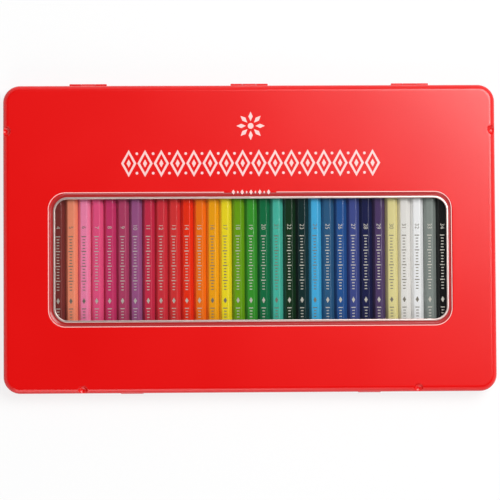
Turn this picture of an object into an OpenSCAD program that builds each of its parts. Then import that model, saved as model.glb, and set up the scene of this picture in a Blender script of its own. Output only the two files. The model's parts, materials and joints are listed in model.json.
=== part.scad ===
// Hinged flat tin with a window in its lid, holding a row of coloured pencils in a grooved tray.
// Millimetres. +Z is up, +X runs along the row of pencils, and the hinges are on the +Y side.
// The origin is the centre of the base pan's underside.
// The tin is sized from what it holds: the row of pencils, the tray round it and the pane above it.

/* [Pencils] */
// Length of a sharpened pencil
pencil_len = 175; // [140:1:220]
// Width of a pencil across its flats
pencil_flats = 6.8; // [5.6:0.1:8.2]
// Turn of the pencils from corner-up, in degrees
pencil_roll = 10.5; // [6:0.5:12]
// Most that single pencils turn either side of that, in degrees
roll_spread = 3; // [0:0.5:4]
// Least space between two pencils
pencil_gap = 0.05; // [0.02:0.01:0.5]
// Diameter of the coloured core
core_d = 3; // [2:0.1:3.6]
// Space between a core and its casing
core_fit = 0.02; // [0.01:0.01:0.05]
// Whole angle of the sharpened cone, in degrees
cone_angle = 21; // [18:1:26]
// Diameter of the blunted point
tip_d = 0.7; // [0.4:0.1:1.2]
// Thickness of the closed end behind the core
end_cap = 1.2; // [0.8:0.1:3]
// Bevel round the blunt end
end_bevel = 0.35; // [0.2:0.05:0.8]

/* [Tinplate] */
// Thickness of the sheet
sheet = 0.3; // [0.2:0.01:0.4]
// Radius of the tin's corners, seen from above
corner_r = 10; // [7:0.5:14]
// Radius of the lid's top edge
shoulder_r = 3.5; // [2.5:0.1:4.5]
// Radius of the base pan's bottom edge
bottom_r = 2.5; // [1.5:0.1:3.5]
// Running gap between the lid's skirt and the neck inside it
lid_gap = 0.25; // [0.15:0.01:0.5]
// Seam between the lid's rim and the base pan's shelf
rim_gap = 0.15; // [0.1:0.01:0.4]
// Radius of the curled rim on the neck
curl_r = 0.5; // [0.4:0.05:0.7]
// Gap between the stop dimples and the curled rim
stop_gap = 0.15; // [0.05:0.01:0.3]

/* [Window] */
// Red border left of the rolled hem's centre line
border_left = 30.1; // [20:0.1:45]
// Red border right of it
border_right = 28.9; // [20:0.1:45]
// Red border in front of it
border_front = 42.3; // [30:0.1:55]
// Red border behind it
border_back = 66.6; // [50:0.1:75]
// Corner radius of the hem's centre line
window_r = 8; // [5:0.5:14]
// Width of the rolled hem
hem_w = 1.3; // [1:0.05:2]
// Height of the rolled hem
hem_h = 0.8; // [0.6:0.05:1]
// Depth of the step that the hem lies in
recess_depth = 0.6; // [0.3:0.05:1]
// Flat floor of the step outside the hem
recess_flat = 1.25; // [0.8:0.05:2]
// Width of the step's slope
recess_slope = 1.1; // [0.6:0.05:2]
// Thickness of the clear pane
pane_t = 0.3; // [0.2:0.05:0.6]
// Reach of the pane outside the hem's centre line
pane_lap = 7.7; // [6.5:0.1:11]
// Width of the tape that holds the pane
tape_w = 4; // [2:0.1:4.2]
// Space between the pane and the step above it
pane_gap = 0.05; // [0.02:0.01:0.2]

/* [Dimples and snaps] */
// Diameter of a stop dimple in the lid's top face
dimple_d = 5.6; // [4:0.1:7]
// Depth of a stop dimple
dimple_depth = 2.2; // [1.6:0.1:2.6]
// Distance of a dimple's centre from the edge
dimple_in = 1.8; // [1.2:0.1:2.6]
// Distance of the front dimples from the sides
front_dimple_inset = 46.7; // [30:0.1:60]
// Distance of the side dimples from the back
side_dimple_inset = 27; // [20:0.5:60]
// Length of a snap bulge
snap_len = 15; // [8:0.5:20]
// Section radius of a snap bulge
snap_r = 1.5; // [1.2:0.1:2]
// How far the lid's snap bulges stand out
pocket_proud = 0.4; // [0.2:0.05:0.5]
// Clearance between the neck's snap bulges and the lid's skirt
snap_clear = 0.05; // [0.04:0.01:0.1]
// Distance of the snaps from the sides
snap_inset = 75.5; // [65:0.5:90]
// Height of the snaps above the hinge axis
snap_up = 2.2; // [1.9:0.1:2.6]

/* [Hinges] */
// Width of a hinge
hinge_w = 22; // [16:0.5:28]
// Width of the lid's knuckle in the middle of it
lid_knuckle_w = 8; // [5:0.5:10]
// Gap between two knuckles
knuckle_gap = 0.2; // [0.1:0.05:0.4]
// Diameter of a hinge pin
pin_d = 0.8; // [0.6:0.05:1]
// Radial clearance between a pin and its bore
pin_clear = 0.05; // [0.02:0.01:0.09]
// Wall of a knuckle round its bore
knuckle_wall = 0.4; // [0.3:0.05:0.5]
// How far a knuckle sinks into the line of the wall
knuckle_bite = 0.2; // [0.1:0.01:0.22]
// Height of the leaf from which a knuckle is curled
leaf_h = 1.9; // [1.4:0.1:2.4]
// Clearance between a knuckle and the notch that it turns in
notch_clear = 0.12; // [0.08:0.01:0.3]
// Distance of the outer hinges' centres from the sides
hinge_inset = 50; // [35:0.5:65]

/* [Tray] */
// Thickness of the tray's plastic
tray_t = 0.5; // [0.4:0.05:0.8]
// Height of the groove bottoms above the table
bed_floor = 2.8; // [2:0.1:4]
// Clearance between a pencil's corners and its groove
groove_clear = 0.1; // [0.05:0.01:0.3]
// Height of the pencils' axes above the deck between the grooves
deck_drop = 1.8; // [1.5:0.1:2.5]
// Clearance at each end of the pencils
end_gap = 0.5; // [0.2:0.1:1.5]
// Clearance at each side of the row
bed_gap = 0.3; // [0.1:0.1:1]
// Thickness of the walls at the pencils' ends
end_wall = 1.05; // [1:0.05:2]
// Width of the raised shelf left of the row
left_shelf = 3.8; // [2:0.1:12]
// Width of the raised shelf right of the row
right_shelf = 10.2; // [2:0.1:12]
// Gap between the tray and the curled rim
tray_gap = 0.2; // [0.1:0.05:0.5]
// How far the tray's top lies below the curled rim
tray_sink = 0.55; // [0.3:0.05:1]
// Width of the channels that the tray stands on
foot_w = 10; // [6:0.5:14]
// Distance between those channels
foot_spacing = 58; // [45:1:65]
// Free height between the pencils and the pane
head_room = 1.95; // [1:0.05:3]

/* [Base pan floor] */
// Distance of the floor's pressed bead from the walls
bead_inset = 12; // [10:0.5:20]
// Width of that bead
bead_w = 3; // [2:0.1:5]
// Height of that bead
bead_h = 0.4; // [0.2:0.05:0.6]

/* [Hidden] */
$fn = 96;

// Name and colour of each pencil, from left to right
PENCILS = [
    ["umber", [0.33, 0.24, 0.17]],
    ["sienna", [0.62, 0.33, 0.16]],
    ["chestnut", [0.45, 0.20, 0.15]],
    ["brown", [0.45, 0.20, 0.19]],
    ["apricot", [0.92, 0.54, 0.42]],
    ["pink", [0.90, 0.50, 0.64]],
    ["rose", [0.86, 0.32, 0.49]],
    ["magenta", [0.74, 0.21, 0.39]],
    ["mauve", [0.66, 0.25, 0.38]],
    ["violet", [0.58, 0.32, 0.50]],
    ["crimson", [0.74, 0.18, 0.28]],
    ["carmine", [0.78, 0.20, 0.24]],
    ["red", [0.80, 0.21, 0.21]],
    ["vermilion", [0.88, 0.19, 0.09]],
    ["orange", [0.96, 0.43, 0.07]],
    ["amber", [0.93, 0.61, 0.06]],
    ["yellow", [0.95, 0.82, 0.15]],
    ["leaf_green", [0.40, 0.60, 0.09]],
    ["green", [0.22, 0.56, 0.18]],
    ["emerald", [0.09, 0.41, 0.25]],
    ["turquoise", [0.28, 0.68, 0.60]],
    ["fir_green", [0.08, 0.20, 0.12]],
    ["petrol", [0.06, 0.18, 0.18]],
    ["sky_blue", [0.27, 0.65, 0.83]],
    ["steel_blue", [0.18, 0.34, 0.48]],
    ["blue", [0.16, 0.32, 0.55]],
    ["ultramarine", [0.25, 0.29, 0.52]],
    ["indigo", [0.13, 0.14, 0.28]],
    ["purple", [0.30, 0.23, 0.38]],
    ["pale_gold", [0.84, 0.80, 0.56]],
    ["silver", [0.85, 0.84, 0.82]],
    ["white", [0.92, 0.92, 0.90]],
    ["grey", [0.50, 0.53, 0.51]],
    ["black", [0.10, 0.08, 0.08]],
    ["slate", [0.28, 0.31, 0.34]],
    ["copper", [0.62, 0.38, 0.24]]
];
function two_digits(n) = str(n < 10 ? "0" : "", n);
function pencil_name(i) = str("pencil_", two_digits(i + 1), "_", PENCILS[i][0]);

// The pencils in their row
pencil_r = pencil_flats / sqrt(3);
pencil_pitch = 2 * pencil_r * cos(30 - pencil_roll - roll_spread) + pencil_gap;
row_w = len(PENCILS) * pencil_pitch;
function roll_of(i) = pencil_roll + roll_spread * sin(137.5 * i);

// The tray's bed and its grooves
groove_r = pencil_r + groove_clear;
axis_z = bed_floor + groove_r;
deck_z = axis_z - deck_drop;
bed_w = row_w + 2 * bed_gap;
bed_d = pencil_len + 2 * end_gap;
tray_w = bed_w + left_shelf + right_shelf;
tray_d = bed_d + 2 * end_wall;
row_x = (left_shelf - right_shelf) / 2;
function pencil_x(i) = row_x + (i - (len(PENCILS) - 1) / 2) * pencil_pitch;

// The tin round the tray
function round_up(size) = ceil(10 * size - 0.001) / 10;
neck_out = sheet + lid_gap;
neck_in = neck_out + sheet;
curl_in = neck_out + 2 * curl_r;
case_w = round_up(tray_w + 2 * (tray_gap + curl_in));
case_d = round_up(tray_d + 2 * (tray_gap + curl_in));
tray_r = corner_r - curl_in - tray_gap;

// Heights: the lid is as high as the base pan, so that it lies flat when it is open
tape_t = recess_depth + pane_gap;
case_h = round_up(axis_z + pencil_r + head_room + pane_t + tape_t + sheet);
part_z = case_h / 2;
rim_z = part_z + rim_gap;
neck_top = case_h - dimple_depth - sheet - stop_gap;
tray_z = sheet + bead_h;
tray_top = neck_top - 2 * curl_r - tray_sink;
pane_z = case_h - sheet - tape_t - pane_t;

// The window's hem line
window_w = case_w - border_left - border_right;
window_d = case_d - border_front - border_back;
window_at = [(border_left - border_right) / 2, (border_front - border_back) / 2, 0];
slope_foot = hem_w / 2 + recess_flat;
slope_head = slope_foot + recess_slope;
slope_miter = sheet * tan(atan2(recess_depth, recess_slope) / 2);
recess_edge = slope_head + slope_miter;

// The hinges
bore_r = pin_d / 2 + pin_clear;
knuckle_r = bore_r + knuckle_wall;
axis_out = knuckle_r - knuckle_bite;
notch_h = knuckle_r + notch_clear;
base_knuckle_w = (hinge_w - lid_knuckle_w) / 2 - knuckle_gap;
HINGES = [["left", -1], ["centre", 0], ["right", 1]];
function hinge_x(side) = side * (case_w / 2 - hinge_inset);
function pin_name(hinge) = str("hinge_pin_", hinge[0]);

dimple_r = (pow(dimple_d / 2, 2) + pow(dimple_depth, 2)) / (2 * dimple_depth);

// How far joined shapes run into each other, and cuts run past faces
overlap = 1;

// ---------- Shapes that repeat ----------

// A rounded rectangle about the origin.
module round_rect(w, d, r) {
    square([w - 2 * r, d], center = true);
    square([w, d - 2 * r], center = true);
    for (x = [-1, 1], y = [-1, 1])
        translate([x * (w / 2 - r), y * (d / 2 - r)]) circle(r);
}

// A rounded rectangular plate between two heights.
module plate(w, d, r, from, to) {
    translate([0, 0, from]) linear_extrude(to - from) round_rect(w, d, r);
}

// Carries a section round a rounded rectangle.
// The section's x is the distance outside that outline, and its y is the height.
module carry_round(w, d, r) {
    for (turn = [0 : 3]) {
        across = turn % 2 == 0 ? w : d;
        along = turn % 2 == 0 ? d : w;
        rotate([0, 0, 90 * turn]) {
            translate([across / 2, along / 2 - r, 0])
                rotate([90, 0, 0]) linear_extrude(along - 2 * r) children();
            translate([across / 2 - r, along / 2 - r, 0])
                rotate_extrude(angle = 90) translate([r, 0]) children();
        }
    }
}

// A block that reaches left and down from the origin, with its corner there rounded.
module rounded_block(w, h, r) {
    difference() {
        translate([-w, -h]) square([w, h]);
        translate([-r, -r]) difference() {
            square(r + overlap);
            circle(r);
        }
    }
}

// The section of a sheet that hangs down a height from a flange and turns the corner at the origin.
module bent_section(h, r) {
    flange = r + overlap;
    difference() {
        rounded_block(flange, h, r);
        translate([-sheet, -sheet]) rounded_block(flange + overlap, h + overlap, r - sheet);
    }
}

// A section drawn in the back wall's plane and carried a width along X, centred.
// The section's x is the distance behind the wall, and its y is the height above the hinge axis.
module on_back_wall(w) {
    translate([-w / 2, case_d / 2, part_z])
        rotate([90, 0, 90]) linear_extrude(w) children();
}

// A bar with round ends along X, centred at the front wall's line, whose bulge stands out of a face.
// face is the face's distance behind that line, and proud is how far the bulge stands out of it.
module snap_bar(face, proud, r) {
    y = -case_d / 2 + face - proud + snap_r;
    straight = snap_len - 2 * snap_r;
    translate([0, y, part_z + snap_up]) {
        rotate([0, 90, 0]) cylinder(r = r, h = straight, center = true);
        for (x = [-1, 1]) translate([x * straight / 2, 0, 0]) sphere(r);
    }
}

// Both snaps' places.
module at_snaps() {
    for (x = [-1, 1]) translate([x * (case_w / 2 - snap_inset), 0, 0]) children();
}

// A snap bulge pressed out of a sheet: the bar's skin in front of the sheet's middle.
module snap_skin(face, proud) {
    intersection() {
        snap_bar(face, proud, snap_r);
        translate([-snap_len, -case_d / 2 + face + sheet / 2 - snap_len, part_z])
            cube([2 * snap_len, snap_len, case_h]);
    }
}

// ---------- Hinges ----------

// A knuckle and the leaf that it is curled from. foot is where the leaf's own wall begins.
module knuckle_section(foot) {
    leaf_top = [-axis_out, leaf_h];
    lean = atan2(leaf_top.y, leaf_top.x) - acos(knuckle_r / norm(leaf_top));
    touch = [axis_out + knuckle_r * cos(lean), knuckle_r * sin(lean)];
    difference() {
        union() {
            translate([axis_out, 0]) circle(knuckle_r);
            polygon([
                [axis_out, 0], [0, foot], [-sheet / 2, foot],
                [-sheet / 2, leaf_h], [0, leaf_h], touch
            ]);
        }
        translate([axis_out, 0]) circle(bore_r);
    }
}

// All hinges' places.
module at_hinges() {
    for (hinge = HINGES) translate([hinge_x(hinge[1]), 0, 0]) children();
}

// The places of the two base knuckles in a hinge.
module at_base_knuckles() {
    for (x = [-1, 1]) translate([x * (hinge_w - base_knuckle_w) / 2, 0, 0]) children();
}

// A notch for the other part's knuckle, from the parting plane up to notch_h.
module notch(w) {
    on_back_wall(w + knuckle_gap)
        translate([-sheet - notch_clear / 4, -overlap]) square([2 * overlap, notch_h + overlap]);
}

module hinge_pin(side) {
    color("silver")
        translate([hinge_x(side), case_d / 2 + axis_out, part_z])
        rotate([0, 90, 0]) cylinder(d = pin_d, h = hinge_w, center = true);
}

// ---------- Base pan ----------

// The floor's edge, the wall, the shelf that the lid closes on, the neck and its curled rim.
module base_section() {
    mirror([0, 1]) bent_section(part_z, bottom_r);
    translate([-neck_in, part_z - sheet]) square([neck_in, sheet]);
    translate([-neck_in, part_z - sheet]) square([sheet, neck_top - curl_r - part_z + sheet]);
    translate([-neck_out - curl_r, neck_top - curl_r]) circle(curl_r);
}

// The floor, with a bead pressed up into it that the tray stands on.
module base_floor() {
    inset = 2 * bead_inset;
    difference() {
        union() {
            plate(case_w - 2 * bottom_r, case_d - 2 * bottom_r, corner_r - bottom_r, 0, sheet);
            plate(case_w - inset, case_d - inset, corner_r, 0, tray_z);
        }
        difference() {
            plate(case_w - inset - 2 * sheet, case_d - inset - 2 * sheet, corner_r - sheet, -overlap, bead_h);
            plate(case_w - inset - 2 * bead_w + 2 * sheet, case_d - inset - 2 * bead_w + 2 * sheet,
                corner_r - bead_w + sheet, -overlap, case_h);
        }
        plate(case_w - inset - 2 * bead_w, case_d - inset - 2 * bead_w, corner_r - bead_w, sheet, case_h);
    }
}

module base_pan() {
    color([0.85, 0.08, 0.07])
    difference() {
        union() {
            carry_round(case_w, case_d, corner_r) base_section();
            base_floor();
            at_snaps() snap_skin(neck_out, lid_gap - snap_clear);
            at_hinges() at_base_knuckles() on_back_wall(base_knuckle_w)
                mirror([0, 1]) knuckle_section(0);
        }
        at_snaps() snap_bar(neck_out, lid_gap - snap_clear, snap_r - sheet);
        at_hinges() translate([0, 0, 2 * part_z]) mirror([0, 0, 1]) notch(lid_knuckle_w);
    }
}

// ---------- Lid ----------

// The edge of the top face, the shoulder and the skirt.
module lid_section() {
    translate([0, case_h]) bent_section(case_h - rim_z, shoulder_r);
}

// Turns to the side dimples at +X and -X and the front dimples, with the wall's outer face at the origin.
module at_dimples() {
    for (x = [-1, 1]) {
        translate([x * case_w / 2, case_d / 2 - side_dimple_inset, 0])
            rotate([0, 0, x > 0 ? 0 : 180]) children();
        translate([x * (case_w / 2 - front_dimple_inset), -case_d / 2, 0])
            rotate([0, 0, -90]) children();
    }
}

// The ball that presses a dimple in, turned so that its poles lie along the wall.
module dimple_ball(r) {
    translate([-dimple_in, 0, case_h - dimple_depth + dimple_r]) rotate([90, 0, 0]) sphere(r);
}

// The sheet that a dimple's ball pushes in, as far out as the middle of the sheet round it.
module dimple_skin() {
    intersection() {
        dimple_ball(dimple_r + sheet);
        translate([-sheet / 2, dimple_d, case_h - sheet / 2])
            rotate([90, 0, 0]) linear_extrude(2 * dimple_d)
            rounded_block(dimple_in + dimple_r + sheet, case_h - rim_z, shoulder_r - sheet / 2);
    }
}

// The step round the window and the rolled hem in it. x is the distance outside the hem's centre line.
module hem_section() {
    floor_z = case_h - recess_depth;
    roll_x = (hem_w - hem_h) / 2;
    polygon([
        [0, floor_z - sheet], [0, floor_z], [slope_foot, floor_z], [slope_head, case_h],
        [recess_edge + overlap, case_h], [recess_edge + overlap, case_h - sheet],
        [recess_edge, case_h - sheet], [slope_foot + slope_miter, floor_z - sheet]
    ]);
    translate([0, floor_z - sheet + hem_h / 2]) {
        square([2 * roll_x, hem_h], center = true);
        for (x = [-1, 1]) translate([x * roll_x, 0]) circle(hem_h / 2);
    }
}

module lid_shell() {
    color([0.88, 0.08, 0.07])
    difference() {
        union() {
            carry_round(case_w, case_d, corner_r) lid_section();
            difference() {
                plate(case_w - 2 * shoulder_r, case_d - 2 * shoulder_r, corner_r - shoulder_r,
                    case_h - sheet, case_h);
                translate(window_at)
                    plate(window_w + 2 * recess_edge, window_d + 2 * recess_edge, window_r + recess_edge,
                        0, case_h + overlap);
            }
            translate(window_at) carry_round(window_w, window_d, window_r) hem_section();
            at_dimples() dimple_skin();
            at_snaps() snap_skin(0, pocket_proud);
            at_hinges() on_back_wall(lid_knuckle_w) knuckle_section(rim_gap);
        }
        at_dimples() dimple_ball(dimple_r);
        at_snaps() snap_bar(0, pocket_proud, snap_r - sheet);
        at_hinges() at_base_knuckles() notch(base_knuckle_w);
    }
}

// ---------- Window pane ----------

module window_pane() {
    color([0.85, 0.9, 0.95, 0.25])
    translate(window_at)
        plate(window_w + 2 * pane_lap, window_d + 2 * pane_lap, window_r + pane_lap, pane_z, pane_z + pane_t);
}

module pane_tape() {
    outer = pane_lap - pane_gap;
    inner = outer - tape_w;
    color("white")
    translate(window_at) difference() {
        plate(window_w + 2 * outer, window_d + 2 * outer, window_r + outer, pane_z + pane_t, case_h - sheet);
        plate(window_w + 2 * inner, window_d + 2 * inner, window_r + inner, 0, case_h);
    }
}

// ---------- Tray ----------

// One round bar along each pencil's place.
module groove_bars(r) {
    for (i = [0 : len(PENCILS) - 1])
        translate([pencil_x(i), 0, axis_z])
        rotate([90, 0, 0]) cylinder(r = r, h = bed_d, center = true);
}

// A box over the bed, grown by a wall, between two heights.
module bed_box(grow, from, to) {
    translate([row_x - bed_w / 2 - grow, -bed_d / 2 - grow, from])
        cube([bed_w + 2 * grow, bed_d + 2 * grow, to - from]);
}

// The channels across the bed that reach down to the floor, grown by a wall.
module foot_channels(grow) {
    for (y = [-1 : 1])
        translate([row_x - bed_w / 2 - grow, y * foot_spacing - foot_w / 2 - grow, tray_z + tray_t - grow])
        cube([bed_w + 2 * grow, foot_w + 2 * grow, deck_z - tray_z]);
}

// The hollow under one raised shelf, between two places in X.
module shelf_hollow(left, right) {
    translate([left, -bed_d / 2, tray_z - overlap])
        cube([right - left, bed_d, tray_top - tray_t - tray_z + overlap]);
}

module pencil_tray() {
    color([0.13, 0.13, 0.14])
    difference() {
        plate(tray_w, tray_d, tray_r, tray_z, tray_top);
        bed_box(0, deck_z, tray_top + overlap);
        groove_bars(groove_r);
        foot_channels(0);
        difference() {
            bed_box(-tray_t, tray_z - overlap, deck_z - tray_t);
            groove_bars(groove_r + tray_t);
            foot_channels(tray_t);
        }
        shelf_hollow(-tray_w / 2 + tray_t, row_x - bed_w / 2 - tray_t);
        shelf_hollow(row_x + bed_w / 2 + tray_t, tray_w / 2 - tray_t);
    }
}

// ---------- Pencils ----------

half_angle = cone_angle / 2;
core_r = core_d / 2;
tip_r = tip_d / 2;
wood_edge = 0.05;

// Distance from the point at which the sharpened cone has a radius.
function cone_back(r) = (r - tip_r) / tan(half_angle);

// What the sharpener and the end bevel leave of a casing, as a shape turned on the pencil's axis.
module casing_envelope() {
    bore = core_r + core_fit;
    wide = pencil_r + overlap;
    rotate_extrude() polygon([
        [bore, end_cap], [0, end_cap], [0, 0], [pencil_r - end_bevel, 0],
        [wide, wide - pencil_r + end_bevel],
        [wide, pencil_len - cone_back(wide)],
        [bore + wood_edge, pencil_len - cone_back(bore + wood_edge)],
        [bore, pencil_len - cone_back(bore + wood_edge)]
    ]);
}

module pencil_core() {
    start = end_cap + core_fit;
    rotate_extrude() polygon([
        [0, start], [core_r, start], [core_r, pencil_len - cone_back(core_r)],
        [tip_r, pencil_len], [0, pencil_len]
    ]);
}

// A pencil lying in its groove, with its point towards the hinges.
module pencil(i) {
    color(PENCILS[i][1])
    translate([pencil_x(i), -pencil_len / 2, axis_z])
    rotate([-90, 0, 0]) {
        intersection() {
            rotate([0, 0, roll_of(i) - 30]) cylinder(r = pencil_r, h = pencil_len, $fn = 6);
            casing_envelope();
        }
        pencil_core();
    }
}

base_pan();
lid_shell();
window_pane();
pane_tape();
pencil_tray();
for (hinge = HINGES)
    hinge_pin(hinge[1]);
for (i = [0 : len(PENCILS) - 1])
    pencil(i);
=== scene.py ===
"""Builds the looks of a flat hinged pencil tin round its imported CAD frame.

Blender's own properties and objects are in metres. The mesh code works in millimetres, and
new_piece turns its points into metres.
"""

import json
import math
from types import SimpleNamespace

import bmesh
import bpy
import numpy as np
from mathutils import Euler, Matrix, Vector


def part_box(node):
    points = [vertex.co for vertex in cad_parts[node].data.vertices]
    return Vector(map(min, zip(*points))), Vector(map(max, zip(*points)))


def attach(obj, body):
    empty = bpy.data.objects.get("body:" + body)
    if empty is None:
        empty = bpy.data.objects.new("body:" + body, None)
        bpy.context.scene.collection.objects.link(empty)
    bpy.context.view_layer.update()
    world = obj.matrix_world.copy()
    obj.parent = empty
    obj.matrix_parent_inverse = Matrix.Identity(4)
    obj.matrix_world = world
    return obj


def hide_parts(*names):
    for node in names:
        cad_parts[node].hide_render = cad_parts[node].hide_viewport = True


bl_info = {
    "name": "Coloured Pencil Tin",
    "version": (1, 0, 0),
    "blender": (4, 5, 0),
    "location": "3D View > Sidebar > Pencil Tin",
    "description": "Makes the looks of a hinged tin with a window and a row of coloured pencils",
    "category": "Object",
}

MM = 0.001
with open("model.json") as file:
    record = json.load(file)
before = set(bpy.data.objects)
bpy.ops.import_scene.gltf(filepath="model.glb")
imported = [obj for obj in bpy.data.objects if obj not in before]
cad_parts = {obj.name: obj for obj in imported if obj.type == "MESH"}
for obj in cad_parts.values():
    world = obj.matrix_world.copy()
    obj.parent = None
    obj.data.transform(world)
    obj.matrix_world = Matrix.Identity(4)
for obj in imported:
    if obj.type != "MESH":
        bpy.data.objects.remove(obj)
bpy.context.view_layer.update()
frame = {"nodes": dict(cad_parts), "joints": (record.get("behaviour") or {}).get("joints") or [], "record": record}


# ---------- What the frame says ----------


def box_mm(node):
    """A CAD node's lowest and highest corners in millimetres."""
    return [np.array(corner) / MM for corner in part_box(node)]


LID_LOW, LID_HIGH = box_mm("lid_shell")
BASE_LOW, BASE_HIGH = box_mm("base_pan")
PANE_LOW, PANE_HIGH = box_mm("window_pane")
PIN_LOW, PIN_HIGH = box_mm("hinge_pin_right")
HINGE_AXIS = np.array(frame["joints"][0]["pos_m"]) / MM
PENCIL_NODES = sorted(node for node in frame["nodes"] if node.startswith("pencil_") and node[7:9].isdigit())
PENCIL_LOW, PENCIL_HIGH = box_mm(PENCIL_NODES[0])
SLOT_COLOURS = {m["slot"]: m["base_color"][:3] for m in frame["record"]["materials"]}


def shade_name(node):
    """The name of a pencil's colour, which ends its node's name."""
    return node.split("_", 2)[2]


# ---------- Fixed numbers, in millimetres where they are lengths ----------

# How far the pane reaches past the hem line
PANE_LAP = 7.7
# How far the tape's faces keep off the pane's and the lid's
TAPE_SLACK = 0.005
# How far the print is sunk into the enamel
PRINT_SUNK = 0.004
# A slot's colour is the one seen in the case's shade, with a sheen on it
LACQUER_GAIN, SHEEN, LEAST_SHADE, MOST_SHADE = 1.24, 0.01, 0.002, 0.96
# A pencil brighter than this has dull marks
LIGHT_PENCIL = 0.36
# A turn that spreads the pencils' rolls evenly without a pattern
ROLL_STEP = math.radians(137.5)
# Edges between faces that meet at more than this are sharp
SHARP_ANGLE = math.radians(35)
WHITE = (1.0, 1.0, 1.0, 1.0)
# Points nearer than this are merged, in metres
MERGE = 1e-6
# The camera's sensor in millimetres, and the nearest and farthest that it sees, in metres
SENSOR, NEAR, FAR = 36.0, 0.01, 20.0
# The stage, in metres, and where the background turns from bright to dim, as the sine of the height
SOFTBOX_PLACE, FILL_PLACE, SOFTBOX_SIDE = (0.58, 0.48, 1.2), (-0.25, -1.1, 0.7), 0.8
FLOOR_REACH, FLOOR_Z = 4.0, -0.0002
LOW_END, HIGH_START = 0.5, 0.85


def linear(colour):
    """A linear colour from one written as a screen shows it."""
    return tuple(c / 12.92 if c <= 0.04045 else ((c + 0.055) / 1.055) ** 2.4 for c in colour)


# ---------- Sizes and colours that a user can change ----------


def length(name, millimetres, description):
    """A length property whose default is given in millimetres."""
    return bpy.props.FloatProperty(
        name=name, description=description, default=millimetres * MM, unit="LENGTH", subtype="DISTANCE", precision=5
    )


def angle(name, degrees, description):
    """An angle property whose default is given in degrees."""
    return bpy.props.FloatProperty(
        name=name, description=description, default=math.radians(degrees), unit="ROTATION", subtype="ANGLE"
    )


def colour(name, shown, description):
    """A colour property whose default is given as a screen shows it."""
    return bpy.props.FloatVectorProperty(
        name=name, description=description, default=linear(shown), size=3, min=0.0, max=1.0, subtype="COLOR"
    )


def count(name, number, description, least=1):
    return bpy.props.IntProperty(name=name, description=description, default=number, min=least)


def level(name, value, description, unit="NONE"):
    """A number that can't be negative."""
    return bpy.props.FloatProperty(name=name, description=description, default=value, min=0.0, unit=unit)


def millimetres(group):
    """A property group's lengths in millimetres, and its other values as they are."""
    values = {}
    for key in group.__annotations__:
        value = getattr(group, key)
        values[key] = value / MM if group.bl_rna.properties[key].unit == "LENGTH" else value
    return SimpleNamespace(**values)


class TinSizes(bpy.types.PropertyGroup):
    """Sizes of the case, its window and its hinges"""

    case_width: length("Case width", LID_HIGH[0] - LID_LOW[0], "Width of the case")
    case_depth: length("Case depth", -2 * BASE_LOW[1], "Depth of the case without its hinges")
    case_height: length("Case height", LID_HIGH[2], "Height of the closed case")
    parting: length("Parting height", HINGE_AXIS[2], "Height of the base pan's shelf")
    neck_top: length("Neck top", BASE_HIGH[2], "Height of the neck's curled rim")
    rim_gap: length("Rim gap", 0.15, "Seam between the lid's rim and the base pan")
    sheet: length("Sheet", 0.3, "Thickness of the tinplate")
    corner: length("Corner radius", 10, "Radius of the case's corners, seen from above")
    shoulder: length("Shoulder radius", 3.5, "Radius of the lid's top edge")
    bottom: length("Bottom radius", 2.5, "Radius of the base pan's bottom edge")
    neck_out: length("Neck inset", 0.55, "Distance of the neck behind the wall")
    curl: length("Curl radius", 0.5, "Radius of the neck's curled rim")
    window_width: length("Window width", PANE_HIGH[0] - PANE_LOW[0] - 2 * PANE_LAP, "Width of the hem line")
    window_depth: length("Window depth", PANE_HIGH[1] - PANE_LOW[1] - 2 * PANE_LAP, "Depth of the hem line")
    window_x: length("Window X", (PANE_LOW[0] + PANE_HIGH[0]) / 2, "Place of the window's centre along X")
    window_y: length("Window Y", (PANE_LOW[1] + PANE_HIGH[1]) / 2, "Place of the window's centre along Y")
    window_corner: length("Window radius", 8, "Corner radius of the hem line")
    hem_width: length("Hem width", 1.3, "Width of the rolled hem")
    hem_height: length("Hem height", 0.8, "Height of the rolled hem")
    recess: length("Recess", 0.6, "Depth of the step that the hem lies in")
    slope_foot: length("Slope foot", 1.9, "Distance of the step's foot outside the hem line")
    slope_head: length("Slope head", 3.0, "Distance of the step's edge outside the hem line")
    dimple_ball: length("Dimple ball", 2.882, "Radius of the ball that presses a stop dimple")
    dimple_depth: length("Dimple depth", 2.2, "Depth of a stop dimple")
    dimple_in: length("Dimple inset", 1.8, "Distance of a dimple's centre from the edge")
    side_dimple: length("Side dimple place", 63.8, "Place of the side dimples along Y")
    front_dimple: length("Front dimple place", 98.8, "Place of the front dimples along X")
    snap_place: length("Snap place", 70, "Place of the snap bulges along X")
    snap_length: length("Snap length", 15, "Length of a snap bulge")
    snap_ball: length("Snap radius", 1.5, "Section radius of a snap bulge")
    snap_up: length("Snap height", 2.2, "Height of the snaps above the parting")
    snap_proud: length("Lid snap", 0.4, "How far the lid's snap bulges stand out")
    neck_proud: length("Neck snap", 0.2, "How far the neck's snap bulges stand out")
    hinge_place: length("Hinge place", (PIN_LOW[0] + PIN_HIGH[0]) / 2, "Place of the outer hinges along X")
    hinge_width: length("Hinge width", PIN_HIGH[0] - PIN_LOW[0], "Width of a hinge")
    lid_knuckle: length("Lid knuckle", 8, "Width of the knuckle in a hinge's middle")
    knuckle_gap: length("Knuckle gap", 0.2, "Gap between two knuckles")
    knuckle_radius: length("Knuckle radius", 0.85, "Outer radius of a knuckle")
    bore: length("Bore radius", 0.45, "Radius of a knuckle's bore")
    axis_out: length("Axis distance", HINGE_AXIS[1] + BASE_LOW[1], "Distance of the hinge axis behind the wall")
    leaf: length("Leaf height", 1.9, "Height of the leaf that a knuckle is curled from")
    notch: length("Notch height", 0.97, "Height of the notch that a knuckle turns in")
    bead_inset: length("Bead inset", 12, "Distance of the floor's bead from the walls")
    bead_width: length("Bead width", 3, "Width of the floor's bead")
    bead_height: length("Bead height", 0.4, "Height of the floor's bead")


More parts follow.
